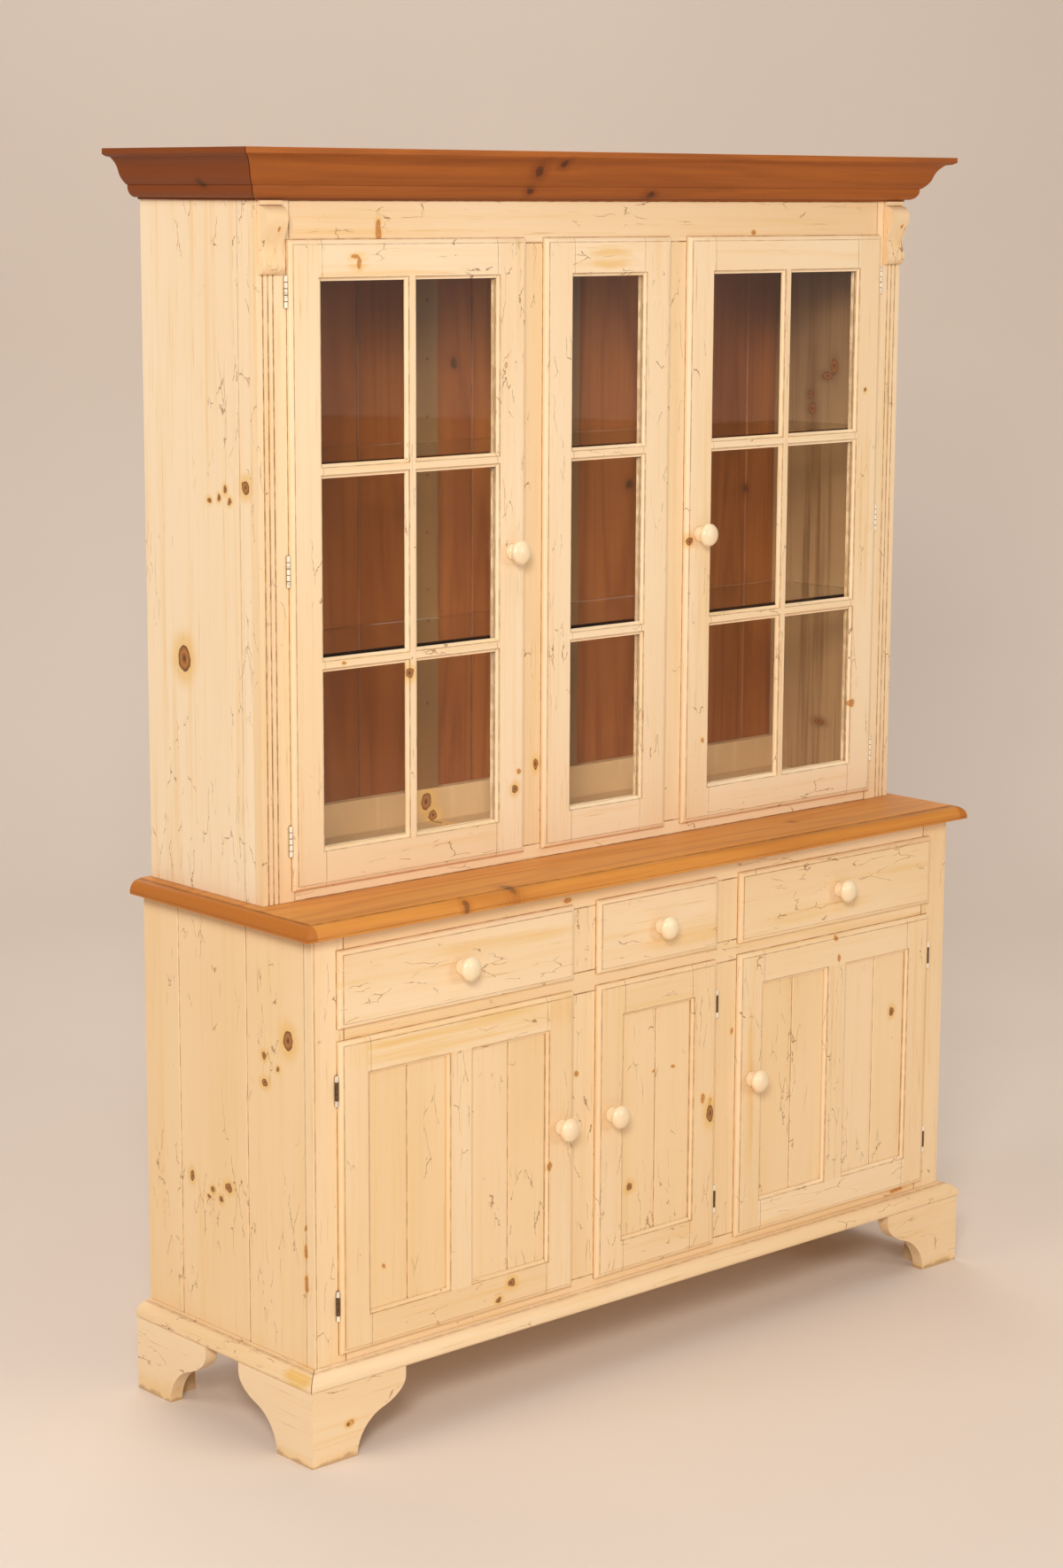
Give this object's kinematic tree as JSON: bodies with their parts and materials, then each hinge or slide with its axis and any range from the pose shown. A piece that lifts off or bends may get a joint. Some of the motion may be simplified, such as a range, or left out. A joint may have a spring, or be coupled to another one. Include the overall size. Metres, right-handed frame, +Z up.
{
  "type": "china cabinet",
  "caption": "Glazed china hutch on a cupboard base with drawers over doors, painted cream with a stained pine counter and cornice, on bracket feet.",
  "frame": {"origin": "on the floor, under the middle of the bounding box", "axes": "+Z up, -Y the front with the doors, +X to the right of someone facing the front"},
  "size_m": [1.651, 0.503, 2.11],
  "materials": {
    "cream_paint": "cream paint over knotty pine, rubbed and lightly crackled",
    "white_paint": "off-white paint inside the hutch",
    "honey_pine": "honey-brown stained and varnished pine",
    "brown_pine": "brown stained pine planks",
    "raw_pine": "plain planed pine",
    "nickel": "dull nickel plate",
    "clear_glass": "clear window glass"
  },
  "bodies": {
    "carcass": {"base_back": "raw_pine", "base_bottom": "cream_paint", "base_face_frame": "cream_paint", "base_moulding": "cream_paint", "base_side_left": "cream_paint", "base_side_right": "cream_paint", "centre_light_frame": "cream_paint", "centre_light_glass": "clear_glass", "corbel_left": "cream_paint", "corbel_right": "cream_paint", "cornice": "honey_pine", "countertop": "honey_pine", "drawer_runner_board": "raw_pine", "foot_front_left": "cream_paint", "foot_front_right": "cream_paint", "foot_rear_left": "cream_paint", "foot_rear_right": "cream_paint", "glass_shelf_lower": "clear_glass", "glass_shelf_upper": "clear_glass", "hutch_back_planks": "brown_pine", "hutch_deck": "white_paint", "hutch_face_frame": "cream_paint", "hutch_side_left": "cream_paint", "hutch_side_right": "cream_paint", "lower_hinge_centre_bottom": "nickel", "lower_hinge_centre_top": "nickel", "lower_hinge_left_bottom": "nickel", "lower_hinge_left_top": "nickel", "lower_hinge_right_bottom": "nickel", "lower_hinge_right_top": "nickel", "upper_hinge_left_bottom": "nickel", "upper_hinge_left_middle": "nickel", "upper_hinge_left_top": "nickel", "upper_hinge_right_bottom": "nickel", "upper_hinge_right_middle": "nickel", "upper_hinge_right_top": "nickel"},
    "drawer_centre": {"drawer_box_centre": "raw_pine", "drawer_front_centre": "cream_paint", "drawer_knob_centre": "cream_paint"},
    "drawer_left": {"drawer_box_left": "raw_pine", "drawer_front_left": "cream_paint", "drawer_knob_left": "cream_paint"},
    "drawer_right": {"drawer_box_right": "raw_pine", "drawer_front_right": "cream_paint", "drawer_knob_right": "cream_paint"},
    "door_lower_centre": {"lower_door_frame_centre": "cream_paint", "lower_door_knob_centre": "cream_paint", "lower_door_planks_centre": "cream_paint"},
    "door_lower_left": {"lower_door_frame_left": "cream_paint", "lower_door_knob_left": "cream_paint", "lower_door_planks_left": "cream_paint"},
    "door_lower_right": {"lower_door_frame_right": "cream_paint", "lower_door_knob_right": "cream_paint", "lower_door_planks_right": "cream_paint"},
    "door_upper_left": {"upper_door_frame_left": "cream_paint", "upper_door_glass_left": "clear_glass", "upper_door_knob_left": "cream_paint"},
    "door_upper_right": {"upper_door_frame_right": "cream_paint", "upper_door_glass_right": "clear_glass", "upper_door_knob_right": "cream_paint"}
  },
  "joints": [
    {"name": "drawer_left_slide", "type": "slide", "parent": "carcass", "child": "drawer_left", "axis": [0, -1, 0], "range_m": [0, 0.3]},
    {"name": "drawer_centre_slide", "type": "slide", "parent": "carcass", "child": "drawer_centre", "axis": [0, -1, 0], "range_m": [0, 0.3]},
    {"name": "drawer_right_slide", "type": "slide", "parent": "carcass", "child": "drawer_right", "axis": [0, -1, 0], "range_m": [0, 0.3]},
    {"name": "door_lower_left_swing", "type": "hinge", "parent": "carcass", "child": "door_lower_left", "pos_m": [-0.718, -0.21095, 0.434], "axis": [0, 0, -1], "range_deg": [0, 110]},
    {"name": "door_lower_centre_swing", "type": "hinge", "parent": "carcass", "child": "door_lower_centre", "pos_m": [0.149, -0.21095, 0.434], "axis": [0, 0, 1], "range_deg": [0, 110]},
    {"name": "door_lower_right_swing", "type": "hinge", "parent": "carcass", "child": "door_lower_right", "pos_m": [0.718, -0.21095, 0.434], "axis": [0, 0, 1], "range_deg": [0, 110]},
    {"name": "door_upper_left_swing", "type": "hinge", "parent": "carcass", "child": "door_upper_left", "pos_m": [-0.697, -0.06945, 1.44375], "axis": [0, 0, -1], "range_deg": [0, 95]},
    {"name": "door_upper_right_swing", "type": "hinge", "parent": "carcass", "child": "door_upper_right", "pos_m": [0.697, -0.06945, 1.44375], "axis": [0, 0, 1], "range_deg": [0, 95]}
  ]
}
